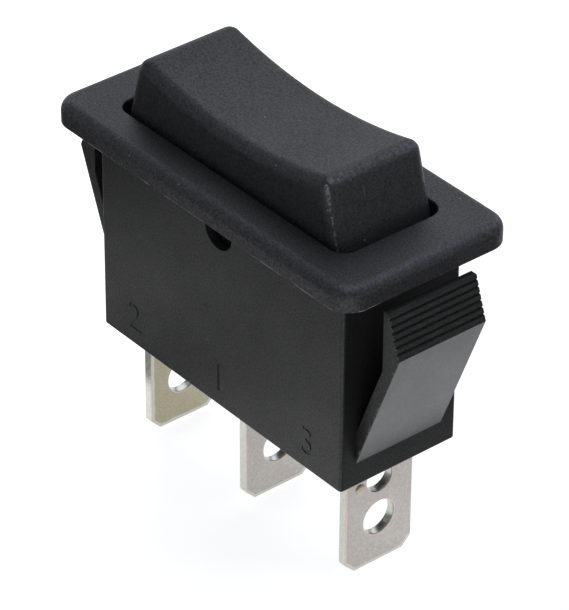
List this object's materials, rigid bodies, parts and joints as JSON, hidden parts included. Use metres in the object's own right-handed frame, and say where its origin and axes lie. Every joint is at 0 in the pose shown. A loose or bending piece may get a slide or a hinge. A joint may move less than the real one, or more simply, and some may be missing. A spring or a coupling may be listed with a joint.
{
  "type": "rocker switch",
  "caption": "Snap-in centre-off changeover rocker switch with a dished rocker, a flat bezel, two side wings and a row of flat solder tabs.",
  "frame": {"origin": "centre of the bezel's underside, where it seats on the panel", "axes": "+Z out of the panel, +X along the rocker towards the right-hand terminal, +Y across it; the rocker turns about an axis along Y"},
  "size_m": [0.0364, 0.0156, 0.0344],
  "materials": {
    "housing_plastic": "fine spark-eroded texture on the bezel, smoother satin sides",
    "rocker_plastic": "fine spark-eroded texture",
    "plunger_plastic": "natural acetal, smooth",
    "spring_steel": "bright drawn wire",
    "contact_strip": "rolled copper alloy",
    "contact_silver": "silver alloy, satin",
    "terminal_tin": "tin-plated brass, satin"
  },
  "bodies": {
    "housing": {"housing": "housing_plastic", "common_terminal": "terminal_tin", "left_throw_terminal": "terminal_tin", "right_throw_terminal": "terminal_tin", "left_fixed_contact": "contact_silver", "right_fixed_contact": "contact_silver"},
    "rocker": {"rocker": "rocker_plastic", "plunger_spring": "spring_steel"},
    "plunger": {"plunger": "plunger_plastic"},
    "rocking_contact": {"rocking_contact": "contact_strip", "left_moving_contact": "contact_silver", "right_moving_contact": "contact_silver"}
  },
  "joints": [
    {"name": "rocker_tilt", "type": "hinge", "parent": "housing", "child": "rocker", "pos_m": [0, 0, -0.0023], "axis": [0, 1, 0], "range_deg": [-11, 11]},
    {"name": "plunger_slide", "type": "slide", "parent": "rocker", "child": "plunger", "axis": [0, 0, 1], "range_m": [0, 0.0012], "stiffness_N_per_m": 300, "springref_m": -0.002, "deforming": ["plunger_spring"]},
    {"name": "contact_tilt", "type": "hinge", "parent": "housing", "child": "rocking_contact", "pos_m": [0, 0, -0.01287], "axis": [0, 1, 0], "range_deg": [-10, 10]}
  ],
  "couplings": [
    {"joint": "contact_tilt", "follows": "rocker_tilt", "ratio": -0.90909}
  ]
}
